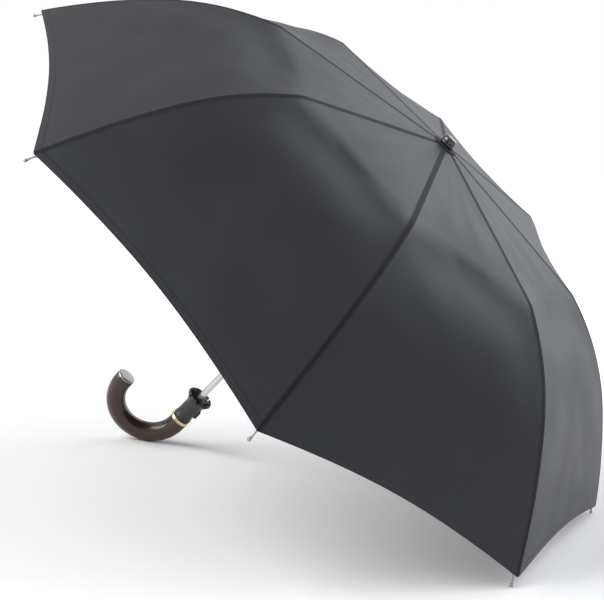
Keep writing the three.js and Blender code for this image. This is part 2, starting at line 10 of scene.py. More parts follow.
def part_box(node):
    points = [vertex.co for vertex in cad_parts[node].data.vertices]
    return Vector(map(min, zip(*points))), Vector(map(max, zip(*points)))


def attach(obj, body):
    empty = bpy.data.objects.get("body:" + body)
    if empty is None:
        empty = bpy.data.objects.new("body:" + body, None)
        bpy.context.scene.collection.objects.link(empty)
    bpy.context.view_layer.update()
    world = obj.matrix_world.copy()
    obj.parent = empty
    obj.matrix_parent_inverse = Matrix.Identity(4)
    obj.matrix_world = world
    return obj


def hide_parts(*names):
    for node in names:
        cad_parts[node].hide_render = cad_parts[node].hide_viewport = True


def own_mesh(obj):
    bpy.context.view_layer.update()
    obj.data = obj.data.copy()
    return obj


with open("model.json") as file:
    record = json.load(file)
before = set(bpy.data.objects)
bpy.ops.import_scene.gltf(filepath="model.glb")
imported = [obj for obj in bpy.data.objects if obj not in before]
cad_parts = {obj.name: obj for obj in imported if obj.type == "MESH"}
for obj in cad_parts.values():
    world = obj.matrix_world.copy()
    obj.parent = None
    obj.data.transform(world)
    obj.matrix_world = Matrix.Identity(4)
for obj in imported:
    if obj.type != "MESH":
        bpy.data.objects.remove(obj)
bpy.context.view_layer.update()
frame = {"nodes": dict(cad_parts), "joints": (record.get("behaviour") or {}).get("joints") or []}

bl_info = {
    "name": "Folding crook umbrella",
    "version": (1, 0, 0),
    "blender": (4, 5, 0),
    "location": "View3D > Sidebar > Umbrella",
    "description": "Cloth, ribs, shaft and handle of an open folding umbrella, and the stage it lies on",
    "category": "Add Mesh",
}

# The umbrella's own frame: apex of the cloth at the origin, +Z up the shaft

JOINTS = {joint["name"]: joint for joint in frame["joints"]}
RIB_COUNT = 8
HALF_GORE = math.pi / RIB_COUNT
HINGE_DROP = 0.0075


def fold_joint(rib):
    return JOINTS["canopy_fold" if rib == 1 else f"inner_rib_fold_{rib}"]


UP = -Vector(JOINTS["shaft_telescope"]["axis"]).normalized()
ACROSS = Vector((0, 1, 0))
HUB = sum((Vector(fold_joint(rib)["pos_m"]) for rib in range(1, RIB_COUNT + 1)), Vector()) / RIB_COUNT
APEX = HUB + UP * HINGE_DROP
UMBRELLA = Matrix.Translation(APEX) @ Matrix((ACROSS.cross(UP), ACROSS, UP)).transposed().to_4x4()
TO_LOCAL = UMBRELLA.inverted()


def rib_azimuth(rib):
    return (2 * rib - 1 - RIB_COUNT) * HALF_GORE


def in_rib_plane(point):
    """Radius and height of a point of the frame, in the umbrella's own frame."""
    local = TO_LOCAL @ Vector(point)
    return Vector((math.hypot(local.x, local.y), local.z))


def local_box(node):
    """Lowest and highest corner of a node, in the umbrella's own frame."""
    mesh = frame["nodes"][node].data
    points = [TO_LOCAL @ vertex.co for vertex in mesh.vertices]
    return [Vector([pick(point[axis] for point in points) for axis in range(3)]) for pick in (min, max)]


# The rib's line, from the hinge, elbow and knee of the frame. Its sprung outer half is two arcs.
CLOTH_ABOVE_RIB = 0.0046
CORNER = Vector((0.465, -0.213))
ELBOW_SLOPE, KNEE_SLOPE, CORNER_SLOPE = (math.radians(angle) for angle in (18.6, 43.5, 52.4))
HINGE = in_rib_plane(fold_joint(1)["pos_m"])
ELBOW = in_rib_plane(JOINTS["elbow_fold_1"]["pos_m"])
KNEE = in_rib_plane(JOINTS["rib_flex_1"]["pos_m"])
STRETCHER_PIN = in_rib_plane(JOINTS["stretcher_fold_1"]["pos_m"])


def rib_normal(slope):
    return Vector((math.sin(slope), math.cos(slope)))


def bend_radius(start, end, turn):
    return (end - start).length / (2 * math.sin(turn / 2))


CLOTH_ELBOW = ELBOW + rib_normal(ELBOW_SLOPE) * CLOTH_ABOVE_RIB
CLOTH_KNEE = KNEE + rib_normal(KNEE_SLOPE) * CLOTH_ABOVE_RIB
RIB_BEND = bend_radius(CLOTH_ELBOW, CLOTH_KNEE, KNEE_SLOPE - ELBOW_SLOPE)
TIP_BEND = bend_radius(CLOTH_KNEE, CORNER, CORNER_SLOPE - KNEE_SLOPE)
RIB_CENTRE = CLOTH_KNEE - rib_normal(KNEE_SLOPE) * RIB_BEND
TIP_CENTRE = CORNER - rib_normal(CORNER_SLOPE) * TIP_BEND
INNER_SLOPE = math.atan2(-CLOTH_ELBOW.y, CLOTH_ELBOW.x)
INNER_LENGTH = CLOTH_ELBOW.length
RIB_LENGTH = RIB_BEND * (KNEE_SLOPE - ELBOW_SLOPE)
TIP_LENGTH = TIP_BEND * (CORNER_SLOPE - KNEE_SLOPE)

# Sizes and colours that a user would change


def length_property(name, description, default):
    return bpy.props.FloatProperty(
        name=name, description=description, default=default, min=0, unit="LENGTH", precision=5)


def colour_property(name, description, default):
    return bpy.props.FloatVectorProperty(
        name=name, description=description, default=default, min=0, max=1, size=3, subtype="COLOR")


class UmbrellaClothSizes(bpy.types.PropertyGroup):
    hole_radius: length_property("Hole", "Radius of the hole for the shaft at the apex", 0.006)
    thickness: length_property("Thickness", "Thickness of the cloth", 0.0006)
    hem_curve: length_property("Hem curve", "How far the hem curves in between two corners", 0.013)
    hem_width: length_property("Hem width", "Width of the turned and stitched hem", 0.008)
    seam_width: length_property("Seam width", "Width of the felled seam along a rib", 0.007)
    seam_height: length_property("Seam height", "How far the seam stands up", 0.0003)
    elbow_dip: length_property("Elbow dip", "How far the cloth sags between the rib elbows", 0.006)
    wrinkle: length_property("Wrinkle", "Height of the slack folds near the ribs and hem", 0.0007)


class UmbrellaPartSizes(bpy.types.PropertyGroup):
    edge: length_property("Edge", "Rounding of the metal bars' edges", 0.0005)
    link_radius: length_property("Link wire", "Radius of the wire that drives the outer rib", 0.0007)
    rod_radius: length_property("Tip rod", "Radius of the rod at the outer end of a rib", 0.0012)
    ball_radius: length_property("Ball", "Radius of the ball at the end of a rib", 0.0021)
    overhang: length_property("Overhang", "Bare rod past the corner of the cloth", 0.010)


class UmbrellaColours(bpy.types.PropertyGroup):
    cloth: colour_property("Cloth", "Black polyester", (0.0145, 0.0143, 0.0150))
    cloth_sheen: colour_property("Cloth sheen", "Tint of the cloth's satin sheen", (0.78, 0.83, 1.0))
    thread: colour_property("Thread", "Sewing thread", (0.035, 0.035, 0.040))
    wood_dark: colour_property("Dark wood", "Dark bands in the wood", (0.012, 0.0055, 0.004))
    wood_light: colour_property("Light wood", "Lighter, redder bands in the wood", (0.085, 0.036, 0.020))
    brass: colour_property("Gold ring", "Gold-coloured ring of the handle", (0.88, 0.76, 0.48))
    steel: colour_property("Plated steel", "Bright tubes, rods and balls", (0.78, 0.78, 0.79))
    tip_steel: colour_property("Tip steel", "Duller steel of the tip rods and balls", (0.36, 0.36, 0.37))
    rib_steel: colour_property("Rib steel", "Zinc-plated bars under the cloth", (0.46, 0.47, 0.49))
    plastic: colour_property("Black plastic", "Housing, button, runner and notch", (0.018, 0.018, 0.019))
    cap_plastic: colour_property("Cap", "Glossy cap on the crown", (0.010, 0.010, 0.014))
    end_cap: colour_property("End cap", "Light cap on the end of the crook", (0.46, 0.45, 0.445))
    floor: colour_property("Floor", "Pale floor", (0.91, 0.91, 0.92))


def cloth_sizes():
    return bpy.context.scene.umbrella_cloth


def part_sizes():
    return bpy.context.scene.umbrella_parts


def colours():
    return bpy.context.scene.umbrella_colours


# Materials


class Finish:
    """A node material being put together around one Principled shader."""

    def __init__(self, name):
        self.material = bpy.data.materials.new(name)
        self.material.use_nodes = True
        self.tree = self.material.node_tree
        self.shader = self.tree.nodes["Principled BSDF"]

    def node(self, kind, **settings):
        made = self.tree.nodes.new(kind)
        for key, value in settings.items():
            setattr(made, key, value)
        return made

    def link(self, source, target):
        self.tree.links.new(source, target)

    def set(self, **values):
        for key, value in values.items():
            self.shader.inputs[key.replace("_", " ")].default_value = value

    def colour(self, key, value):
        self.shader.inputs[key.replace("_", " ")].default_value = (*value, 1)

    def made_node(self, kind, output, inputs, **settings):
        """One output of a new node, its inputs set from numbers or joined to other nodes' outputs."""
        made = self.node(kind, **settings)
        for key, value in inputs.items():
            if isinstance(value, bpy.types.NodeSocket):
                self.link(value, made.inputs[key])
            else:
                made.inputs[key].default_value = value
        return made.outputs[output]

    def coordinates(self, source="Object", scale=(1, 1, 1)):
        where = self.node("ShaderNodeTexCoord")
        return self.made_node("ShaderNodeMapping", "Vector", {"Scale": scale, "Vector": where.outputs[source]})

    def noise(self, vector, scale, detail=4.0, roughness=0.55, distortion=0.0):
        return self.made_node("ShaderNodeTexNoise", "Fac", {
            "Scale": scale, "Detail": detail, "Roughness": roughness, "Distortion": distortion, "Vector": vector})

    def wave(self, vector, scale, direction):
        return self.made_node(
            "ShaderNodeTexWave", "Fac",
            {"Scale": scale, "Distortion": 0.0, "Detail": 2.0, "Detail Scale": 1.2, "Vector": vector},
            wave_type="BANDS", bands_direction=direction)

    def ramp(self, source, stops):
        made = self.node("ShaderNodeValToRGB")
        elements = made.color_ramp.elements
        while len(elements) < len(stops):
            elements.new(0.5)
        for element, (place, value) in zip(elements, stops):
            element.position = place
            element.color = (*value, 1) if hasattr(value, "__len__") else (value, value, value, 1)
        self.link(source, made.inputs["Fac"])
        return made.outputs["Color"]

    def spread(self, source, low, high):
        return self.made_node(
            "ShaderNodeMapRange", "Result", {"To Min": low, "To Max": high, "Value": source})

    def maths(self, operation, first, second=None):
        values = (first,) if second is None else (first, second)
        return self.made_node("ShaderNodeMath", "Value", dict(enumerate(values)), operation=operation)

    def mix(self, share, first, second):
        made = self.node("ShaderNodeMix", data_type="RGBA")
        self.link(share, made.inputs["Factor"])
        colour_sockets = [socket for socket in made.inputs if socket.type == "RGBA"]
        for socket, value in zip(colour_sockets, (first, second)):
            if isinstance(value, bpy.types.NodeSocket):
                self.link(value, socket)
            else:
                socket.default_value = (*value, 1)
        return next(socket for socket in made.outputs if socket.type == "RGBA")

    def bump(self, height, distance, strength=1.0, under=None):
        inputs = {"Distance": distance, "Strength": strength, "Height": height}
        if under is not None:
            inputs["Normal"] = under
        return self.made_node("ShaderNodeBump", "Normal", inputs)

    def to_shader(self, source, key):
        self.link(source, self.shader.inputs[key])


SEAM_HALF_WIDTH = 0.0035
SEAM_STITCH_ROW = 0.0026
HEM_STITCH_ROW = 0.0065
STITCH_HALF_WIDTH = 0.0003
FOLDED_EDGE = 0.0012
THREADS = 640.0                         # bands of the weave, as the wave texture counts them
STITCHES = 105.0


def cloth_finish(colour, sheen, thread):
    """Closely woven polyester: fine weave, cloudy tension, a darker seam with stitches, a stitched hem."""
    made = Finish("umbrella_cloth")
    uv = made.coordinates("UV")
    split = made.node("ShaderNodeSeparateXYZ")
    made.link(uv, split.inputs["Vector"])
    beside = made.maths("ABSOLUTE", split.outputs["X"])
    hem = made.node("ShaderNodeAttribute", attribute_name="hem_distance").outputs["Fac"]
    clouds = made.noise(made.coordinates("Object"), 9.0, 3.0)
    slubs = made.noise(made.coordinates("UV", (900, 60, 1)), 1.0, 2.0)
    weave = made.maths("MULTIPLY", made.wave(uv, THREADS, "X"), made.wave(uv, THREADS, "Y"))
    base = made.ramp(clouds, [(0.30, [c * 0.88 for c in colour]), (0.70, [c * 1.12 for c in colour])])
    base = made.mix(made.spread(slubs, 0.0, 0.30), base, [min(1, c * 1.8) for c in colour])
    # The felled seam reads darker; a row of stitches runs along each side of it.
    seam = made.maths("LESS_THAN", beside, SEAM_HALF_WIDTH)
    base = made.mix(made.maths("MULTIPLY", seam, 0.85), base, [c * 0.2 for c in colour])
    rows = []
    for distance, row, direction in ((beside, SEAM_STITCH_ROW, "Y"), (hem, HEM_STITCH_ROW, "X")):
        off_row = made.maths("ABSOLUTE", made.maths("SUBTRACT", distance, row))
        dash = made.maths("GREATER_THAN", made.wave(uv, STITCHES, direction), 0.35)
        rows.append(made.maths("MULTIPLY", made.maths("LESS_THAN", off_row, STITCH_HALF_WIDTH), dash))
    stitches = made.maths("MAXIMUM", *rows)
    # The band within FOLDED_EDGE of the hem is painted darker: painted shade where the cloth rolls over its fold,
    # not a colour of the cloth.
    edge = made.maths("LESS_THAN", hem, FOLDED_EDGE)
    base = made.mix(made.maths("MULTIPLY", edge, 0.6), base, [c * 0.25 for c in colour])
    base = made.mix(stitches, base, thread)
    made.to_shader(base, "Base Color")
    roughness = made.maths("ADD", made.spread(clouds, 0.40, 0.52), made.maths("MULTIPLY", seam, 0.3))
    made.to_shader(roughness, "Roughness")
    height = made.maths("ADD", made.maths("MULTIPLY", weave, 0.35), made.maths("MULTIPLY", slubs, 0.25))
    normal = made.bump(height, 0.00012, 0.35)
    normal = made.bump(stitches, 0.0003, 0.6, normal)
    made.to_shader(normal, "Normal")
    made.set(Sheen_Weight=0.06, Sheen_Roughness=0.4, Specular_IOR_Level=0.34)
    made.colour("Sheen_Tint", sheen)
    made.colour("Specular_Tint", sheen)
    return made.material


def wood_finish(dark, light):
    """Lacquered hardwood: long grain that follows the bend, darker pores, a clear coat."""
    made = Finish("crook_wood")
    along = made.coordinates("UV", (190, 24, 1))
    bands = made.noise(along, 1.0, 5.0, 0.65, 0.6)
    pores = made.noise(made.coordinates("UV", (760, 90, 1)), 1.0, 3.0, 0.7)
    patches = made.noise(made.coordinates("Object"), 26.0, 2.0)
    middle = [(a + b) / 2 for a, b in zip(dark, light)]
    grain = made.ramp(bands, [(0.36, dark), (0.50, middle), (0.64, light)])
    grain = made.mix(made.spread(patches, 0.0, 0.45), grain, dark)
    streaks = made.ramp(pores, [(0.38, 1.0), (0.48, 0.0)])
    grain = made.mix(streaks, grain, [c * 0.45 for c in dark])
    made.to_shader(grain, "Base Color")
    made.to_shader(made.spread(pores, 0.26, 0.40), "Roughness")
    made.to_shader(made.bump(pores, 0.00015, 0.35), "Normal")
    made.set(Coat_Weight=0.55, Coat_Roughness=0.10, Specular_IOR_Level=0.35)
    return made.material


def metal_finish(name, colour, smooth, rough, scratch=0.12):
    """Plated metal with faint drawing marks and slightly uneven gloss."""
    made = Finish(name)
    marks = made.noise(made.coordinates("Object"), 420.0, 3.0, 0.6)
    smudge = made.noise(made.coordinates("Object"), 38.0, 3.0)
    made.to_shader(made.ramp(smudge, [(0.3, [c * 0.86 for c in colour]), (0.7, colour)]), "Base Color")
    made.to_shader(made.spread(made.maths("MULTIPLY", marks, smudge), smooth, rough), "Roughness")
    made.to_shader(made.bump(marks, 0.00006, scratch), "Normal")
    made.set(Metallic=1.0)
    return made.material


def plastic_finish(name, colour, smooth, rough, grain=0.25, coat=0.0):
    """Moulded plastic: fine surface grain, handled patches a little glossier."""
    made = Finish(name)
    cells = made.noise(made.coordinates("Object"), 1500.0, 2.0)
    rubbed = made.noise(made.coordinates("Object"), 55.0, 3.0)
    worn = made.ramp(rubbed, [(0.35, colour), (0.75, [min(1, c * 1.7 + 0.004) for c in colour])])
    made.to_shader(worn, "Base Color")
    made.to_shader(made.spread(rubbed, rough, smooth), "Roughness")
    made.to_shader(made.bump(cells, 0.0001, grain), "Normal")
    made.set(Coat_Weight=coat, Coat_Roughness=0.05)
    return made.material


def floor_finish(colour):
    made = Finish("studio_floor")
    clouds = made.noise(made.coordinates("Object"), 2.0, 2.0)
    made.to_shader(made.ramp(clouds, [(0.3, [c * 0.985 for c in colour]), (0.7, colour)]), "Base Color")
    made.to_shader(made.spread(clouds, 0.75, 0.85), "Roughness")
    made.set(Specular_IOR_Level=0.2)
    return made.material


FINISHES = {}


def finish(name):
    """The named finish, made on first use."""
    if name not in FINISHES:
        tint = colours()
        makers = {
            "cloth": lambda: cloth_finish(tint.cloth, tint.cloth_sheen, tint.thread),
            "wood": lambda: wood_finish(tint.wood_dark, tint.wood_light),
            "brass": lambda: metal_finish("gold_ring", tint.brass, 0.14, 0.30),
            "steel": lambda: metal_finish("plated_steel", tint.steel, 0.12, 0.34),
            "tip_steel": lambda: metal_finish("tip_steel", tint.tip_steel, 0.22, 0.42),
            "rib_steel": lambda: metal_finish("rib_steel", tint.rib_steel, 0.28, 0.52, scratch=0.3),
            "plastic": lambda: plastic_finish("black_plastic", tint.plastic, 0.30, 0.46),
            "cap_plastic": lambda: plastic_finish("glossy_cap", tint.cap_plastic, 0.08, 0.16, 0.05, 0.6),
            "end_cap": lambda: metal_finish("light_end_cap", tint.end_cap, 0.36, 0.52),
            "floor": lambda: floor_finish(tint.floor),
        }
        FINISHES[name] = makers[name]()
    return FINISHES[name]


# Modelling helpers


def deselect():
    if bpy.context.mode != "OBJECT":
        bpy.ops.object.mode_set(mode="OBJECT")
    bpy.ops.object.select_all(action="DESELECT")


def only(piece):
    deselect()
    piece.select_set(True)
    bpy.context.view_layer.objects.active = piece


def apply_place():
    """Moves the active piece's place into its mesh."""
    bpy.ops.object.transform_apply(location=True, rotation=True, scale=True)


def edit_all():
    """Opens the active piece in edit mode with all of it selected."""
    bpy.ops.object.mode_set(mode="EDIT")
    bpy.ops.mesh.select_mode(type="VERT")
    bpy.ops.mesh.select_all(action="SELECT")


def leave_edit():
    bpy.ops.object.mode_set(mode="OBJECT")


def weld(distance):
    """Merges doubled points of the open piece, turns its faces outwards and leaves edit mode."""
    bpy.ops.mesh.select_all(action="SELECT")
    bpy.ops.mesh.remove_doubles(threshold=distance)
    bpy.ops.mesh.select_all(action="SELECT")
    bpy.ops.mesh.normals_make_consistent(inside=False)
    leave_edit()


def extrude_ring(lift, share=None, centre=(0, 0, 0)):
    """Extrudes the selected ring along Z, then resizes it about a centre."""
    bpy.ops.mesh.extrude_region_move(TRANSFORM_OT_translate={"value": (0, 0, lift)})
    if share is not None:
        bpy.ops.transform.resize(value=(share, share, 1), center_override=centre)


def ring_start(name, radius, z, segments):
    """A bare circle around the shaft's axis, left in edit mode with all of it selected."""
    deselect()
    bpy.ops.mesh.primitive_circle_add(vertices=segments, radius=radius, fill_type="NOTHING", location=(0, 0, z))
    piece = bpy.context.active_object
    piece.name = name
    piece.data.name = name
    apply_place()
    edit_all()
    return piece


POLE = 2e-5                             # stands for radius 0 until the ring is merged
WELD = 1e-6                             # points closer than this are one
GAP = 0.0003                            # room between two handle pieces
BORE = 0.0048                           # radius of the hole for the tube in ring and housing


def turned(name, profile, segments=96):
    """A turned piece around the shaft's axis: one ring, extruded and resized through [radius, z] pairs."""
    radius, height = profile[0]
    radius = max(radius, POLE)
    piece = ring_start(name, radius, height, segments)
    for next_radius, next_height in profile[1:]:
        next_radius = max(next_radius, POLE)
        extrude_ring(next_height - height, next_radius / radius, (0, 0, next_height))
        radius, height = next_radius, next_height
    weld(POLE * 2.5)
    return piece


def closed_profile(*points):
    return [*points, points[0]]


def shares(radius, bottom, tall, *pairs):
    """Profile points given as shares of a piece's radius and height."""
    return [(radius * out, bottom + tall * up) for out, up in pairs]


def arc_profile(centre, radii, start, end, steps):
    """Points on part of an ellipse, angles in degrees from outwards towards up."""
    made = []
    for step in range(steps + 1):
        angle = math.radians(start + (end - start) * step / steps)
        made.append((centre[0] + radii[0] * math.cos(angle), centre[1] + radii[1] * math.sin(angle)))
    return made


def apply_modifier(piece, kind, **settings):
    only(piece)
    modifier = piece.modifiers.new(kind.title(), kind)
    for key, value in settings.items():
        setattr(modifier, key, value)
    bpy.ops.object.modifier_apply(modifier=modifier.name)


def smooth(piece, degrees=32):
    only(piece)
    bpy.ops.object.shade_smooth_by_angle(angle=math.radians(degrees))


def place(piece, azimuth=0.0):
    """Turns a piece about the shaft and sets it in the row's frame, with its place in its mesh."""
    only(piece)
    piece.matrix_world = UMBRELLA @ Matrix.Rotation(azimuth, 4, "Z") @ piece.matrix_world
    apply_place()
    return piece


def settle(piece, body, look, slot_name, *nodes):
    """Gives a placed piece its finish, its body and the nodes that it stands for."""
    piece.data.materials.clear()
    piece.data.materials.append(finish(look))
    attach(piece, body)
    if nodes:
        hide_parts(*nodes)
    return piece


def joined(pieces):
    deselect()
    for piece in pieces:
        piece.select_set(True)
    bpy.context.view_layer.objects.active = pieces[0]
    bpy.ops.object.join()
    return pieces[0]


def copied(piece, name):
    made = piece.copy()
    made.data = piece.data.copy()
    made.name = name
    made.data.name = name
    bpy.context.collection.objects.link(made)
    return made


def refined(node, name, edge, segments=2):
    """A copy of a frame node in the umbrella's own frame, its triangles merged and its edges rounded."""
    made = copied(frame["nodes"][node], name)
    made.parent = None
    made.matrix_world = Matrix.Identity(4)
    made.hide_render = False
    made.data.transform(TO_LOCAL)
    only(made)
    edit_all()
    bpy.ops.mesh.remove_doubles(threshold=WELD)
    bpy.ops.mesh.dissolve_limited(angle_limit=math.radians(1))
    leave_edit()
    apply_modifier(
        made, "BEVEL", width=edge, segments=segments, limit_method="ANGLE", angle_limit=math.radians(28),
        use_clamp_overlap=True)
    smooth(made, 35)
    for key in [key for key in made.keys() if key.startswith("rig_")]:
        del made[key]
    return made


def on_each_rib(pattern, name, segment, look, slot_name, node=None):
    """Places a copy of a pattern at every rib, on that rib's body, and removes the pattern."""
    for rib in range(1, RIB_COUNT + 1):
        piece = place(copied(pattern, f"{name}_{rib}"), rib_azimuth(rib))
        settle(piece, f"rib_{rib}_{segment}", look, slot_name, *([f"{node}_{rib}"] if node else []))
    bpy.data.objects.remove(pattern)


def axis_cylinder(name, radius, depth, location, direction, segments=32):
    """A cylinder lying along a direction."""
    deselect()
    turn = Vector(direction).to_track_quat("Z", "Y").to_euler()
    bpy.ops.mesh.primitive_cylinder_add(
        vertices=segments, radius=radius, depth=depth, location=location, rotation=turn)
    piece = bpy.context.active_object
    piece.name = name
    apply_place()
    return piece


# Cloth

SEAM_MM = (0.0, 1.2, 2.6, 3.5, 4.4, 7.0)         # columns beside the rib
SEAM_SHARES = (0.0, 0.07, 0.15, 0.21, 0.27, 0.36)  # their widest share of half a gore
WIDE_COLUMNS = 11
ROUNDING = 0.0022                       # how softly the cloth turns over a rib
HOME_RIB = 5                            # the pieces are made on this rib and turned to their own
HEM_ROWS_MM = (22.0, 15.0, 10.5, 8.4, 7.6, 5.0, 2.5, 0.8, 0.0)


def smooth_step(value):
    value = np.clip(value, 0, 1)
    return value * value * (3 - 2 * value)


def cloth_surface(azimuth, station):
    """Points of the cloth's outer face.

    station runs 0 to 1 from the apex hole to the elbow, to 2 at the knee and to 3 at the hem. azimuth is about
    the shaft, and any value is folded to the nearest rib, so neighbouring panels share their edges exactly.
    """
    size = cloth_sizes()
    gore = 2 * HALF_GORE
    rib_place = np.floor((azimuth + math.pi) / gore) * gore - math.pi + HALF_GORE
    off_rib = np.abs(azimuth - rib_place)                  # 0 on a rib, half a gore in the middle
    middle = off_rib / HALF_GORE
    bowl = 1 - (1 - middle) ** 2
    hem_slope = CORNER_SLOPE - size.hem_curve / TIP_BEND * bowl
    crown = smooth_step(station)
    slope = np.where(
        station <= 2, ELBOW_SLOPE + (KNEE_SLOPE - ELBOW_SLOPE) * (station - 1),
        KNEE_SLOPE + (hem_slope - KNEE_SLOPE) * (station - 2))
    slope = np.where(station <= 1, INNER_SLOPE, slope)
    bend = np.where(station <= 2, RIB_BEND, TIP_BEND)
    flat_radius = size.hole_radius + (CLOTH_ELBOW.x - size.hole_radius) * np.clip(station, 0, 1)
    radius = np.where(station <= 2, RIB_CENTRE.x, TIP_CENTRE.x) + np.sin(slope) * bend
    height = np.where(station <= 2, RIB_CENTRE.y, TIP_CENTRE.y) + np.cos(slope) * bend
    radius = np.where(station <= 1, flat_radius, radius)
    height = np.where(station <= 1, -flat_radius * math.tan(INNER_SLOPE), height)
    # Straight across between two ribs, rounded over the rib itself.
    rounding = ROUNDING / np.maximum(radius, 0.004)
    soft_off = np.sqrt(off_rib ** 2 + rounding ** 2) - rounding
    across = radius * math.cos(HALF_GORE) / np.cos(HALF_GORE - soft_off)
    # The cloth sags a little between the elbows and carries slack folds that run in from the corners.
    dip = size.elbow_dip * bowl * np.exp(-((station - 1.12) / 0.26) ** 2)
    beside = off_rib * radius
    seed = np.round(rib_place / gore * 2)
    folds = (
        np.sin(station * 6.0 + middle * 3.0 + seed * 2.1) * 0.6
        + np.sin(station * 15.0 - middle * 6.0 + seed * 1.3) * 0.25
        + np.sin(station * 2.5 + middle * 7.0 + seed * 0.7) * 0.4)
    strength = smooth_step(middle * 3.0) * smooth_step((1.0 - middle) * 3.0) * crown
    lift = size.wrinkle * folds * strength - dip
    tension = np.sin(station * 55.0 + seed) * np.exp(-beside / 0.014) * smooth_step(beside / 0.006)
    lift = lift + size.wrinkle * 0.25 * tension * smooth_step((station - 0.4) * 2)
    seam = 1 - smooth_step((beside - size.seam_width / 2 + 0.0005) / 0.0009)
    from_hem = (3 - station) * TIP_LENGTH
    hem = 1 - smooth_step((from_hem - size.hem_width + 0.0002) / 0.0008)
    lift = lift + size.seam_height * np.maximum(seam * smooth_step(station * 6), hem)
    across = across + lift * np.sin(slope)
    height = height + lift * np.cos(slope)
    return np.stack([across * np.cos(azimuth), across * np.sin(azimuth), height], axis=-1)


def cloth_normals(azimuth, station):
    """Normals of the whole cloth, the same on both sides of a panel's edge."""
    step = 0.0012
    turn = step / np.maximum(0.06, np.clip(station, 0, 1) * CLOTH_ELBOW.x)
    along = cloth_surface(azimuth, np.minimum(station + 0.004, 3.0)) - cloth_surface(
        azimuth, np.maximum(station - 0.004, 0.0))
    around = cloth_surface(azimuth + turn, station) - cloth_surface(azimuth - turn, station)
    normal = np.cross(around, -along)
    normal /= np.linalg.norm(normal, axis=-1, keepdims=True)
    return np.where(normal[..., 2:3] < 0, -normal, normal)


def station_rows(first, last):
    """Station values of one cloth piece, close together at the hem."""
    count = 12 if first == 0 else 10
    rows = list(np.linspace(first, last, count + 1))
    if last == 3:
        hem = [3 - mm / 1000 / TIP_LENGTH for mm in HEM_ROWS_MM]
        rows = [row for row in rows if row < hem[0] - 0.03] + hem
    return np.array(rows)


def panel_columns(station):
    """Azimuths across one rib-centred panel at a station, seam columns first kept at their real width."""
    hole = cloth_sizes().hole_radius
    reaches = (hole, CLOTH_ELBOW.x, CLOTH_KNEE.x, CORNER.x)
    radius = float(np.interp(station, (0, 1, 2, 3), reaches))
    seam = [min(mm / 1000 / radius, share * HALF_GORE) for mm, share in zip(SEAM_MM, SEAM_SHARES)]
    rest = [seam[-1] + (HALF_GORE - seam[-1]) * step / WIDE_COLUMNS for step in range(1, WIDE_COLUMNS + 1)]
    half = seam + rest
    return np.array([-value for value in reversed(half[1:])] + half)


def cloth_piece(name, first, last):
    """One piece of cloth between two stations, as a thin closed sheet over the home rib."""
    rows = station_rows(first, last)
    home = rib_azimuth(HOME_RIB)
    azimuth = np.array([panel_columns(row) for row in rows])
    station = np.repeat(rows[:, None], azimuth.shape[1], axis=1)
    inset = np.clip(np.abs(azimuth), 0, HALF_GORE - 1e-7) * np.sign(azimuth)
    outside = cloth_surface(home + inset, station)
    normal = cloth_normals(home + inset, station)
    inside = outside - normal * cloth_sizes().thickness
    row_count, column_count = azimuth.shape
    size = row_count * column_count
    points = np.concatenate([outside.reshape(-1, 3), inside.reshape(-1, 3)])
    faces = []
    for row in range(row_count - 1):
        for column in range(column_count - 1):
            a = row * column_count + column
            b = a + column_count
            faces.append((a, b, b + 1, a + 1))
            faces.append((a + size, a + 1 + size, b + 1 + size, b + size))
        left = row * column_count
        right = left + column_count - 1
        faces.append((left, left + size, left + column_count + size, left + column_count))
        faces.append((right, right + column_count, right + column_count + size, right + size))
    for top in range(column_count - 1):
        hem = (row_count - 1) * column_count + top
        faces.append((top, top + 1, top + 1 + size, top + size))
        faces.append((hem, hem + size, hem + 1 + size, hem + 1))
    mesh = bpy.data.meshes.new(name)
    mesh.from_pydata([tuple(point) for point in points], [], faces)
    piece = bpy.data.objects.new(name, mesh)
    bpy.context.collection.objects.link(piece)
    radius = np.linalg.norm(outside[..., :2], axis=-1)
    beside = (azimuth * radius).reshape(-1)
    along = station_lengths(station).reshape(-1)
    layer = mesh.uv_layers.new(name="UVMap")
    corner = np.array([loop.vertex_index for loop in mesh.loops]) % size
    layer.data.foreach_set("uv", np.stack([beside[corner], along[corner]], axis=-1).astype(np.float32).ravel())
    hem_distance = mesh.attributes.new("hem_distance", "FLOAT", "POINT")
    from_hem = ((3 - station) * TIP_LENGTH).reshape(-1)
    hem_distance.data.foreach_set("value", np.concatenate([from_hem, from_hem]).astype(np.float32))
    mesh.polygons.foreach_set("use_smooth", np.ones(len(mesh.polygons), bool))
    mesh.normals_split_custom_set_from_vertices(
        np.concatenate([normal.reshape(-1, 3), -normal.reshape(-1, 3)]).tolist())
    mesh.update()
    return piece


def station_lengths(station):
    """Distance along the cloth from the apex hole."""
    reaches = (0, INNER_LENGTH, INNER_LENGTH + RIB_LENGTH, INNER_LENGTH + RIB_LENGTH + TIP_LENGTH)
    return np.interp(station, (0, 1, 2, 3), reaches)


def sheet_facts(piece):
    """Flat width, length and area of a thin sheet, from its UV map and faces."""
    mesh = piece.data
    uv = np.zeros(len(mesh.loops) * 2, np.float32)
    mesh.uv_layers[0].data.foreach_get("uv", uv)
    uv = uv.reshape(-1, 2)
    width, length = uv.max(0) - uv.min(0)
    area = sum(face.area for face in mesh.polygons) / 2
    return float(width), float(length), float(area)


# Operators


